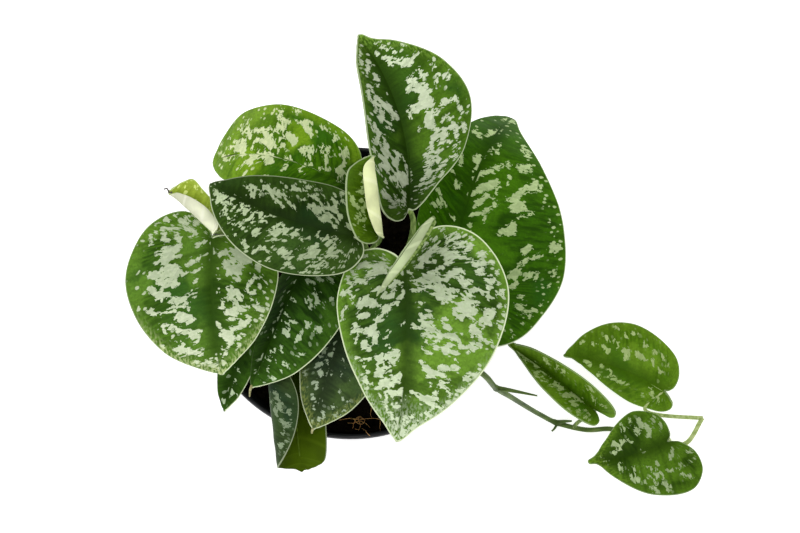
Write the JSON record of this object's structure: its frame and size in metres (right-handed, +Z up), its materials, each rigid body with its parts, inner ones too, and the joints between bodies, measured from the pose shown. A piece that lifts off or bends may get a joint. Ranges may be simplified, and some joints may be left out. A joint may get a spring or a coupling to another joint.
{
  "type": "potted satin pothos",
  "caption": "Living satin pothos with silver-splashed heart-shaped leaves on short stems and one trailing vine, in a round black nursery pot of soil.",
  "frame": {"origin": "centre of the pot's flat base, on the surface that it stands on", "axes": "+Z up, through the middle of the rim; +X towards the trailing vine; -Y towards the picture's lower edge"},
  "size_m": [0.2912, 0.1899, 0.2295],
  "materials": {
    "black_plastic": "matte black polypropylene",
    "peat_soil": "moist dark peat",
    "stem": "green living stem",
    "leaf": "satin green with silver splashes",
    "bright_leaf": "satin yellow-green with silver splashes",
    "low_leaf": "satin dark green with silver splashes",
    "young_leaf": "satin pale green, partly unrolled"
  },
  "bodies": {
    "root": {"pot": "black_plastic", "soil": "peat_soil", "stem_front": "stem", "stem_centre": "stem", "stem_rear": "stem", "stem_left": "stem", "stem_low_centre": "stem", "stem_low_left": "stem", "vine": "stem", "leaf_top": "leaf", "leaf_right_rear": "bright_leaf", "leaf_front": "leaf", "leaf_young_left": "young_leaf", "leaf_young_front": "young_leaf", "leaf_left_centre": "leaf", "leaf_left_rear": "bright_leaf", "leaf_left": "leaf", "leaf_young_far_left": "young_leaf", "leaf_low_left": "low_leaf", "leaf_low_far_left": "low_leaf", "leaf_low_centre": "low_leaf", "leaf_low_curled": "low_leaf", "leaf_vine_near": "bright_leaf", "leaf_vine_upper": "bright_leaf", "leaf_vine_lower": "bright_leaf"}
  },
  "joints": []
}
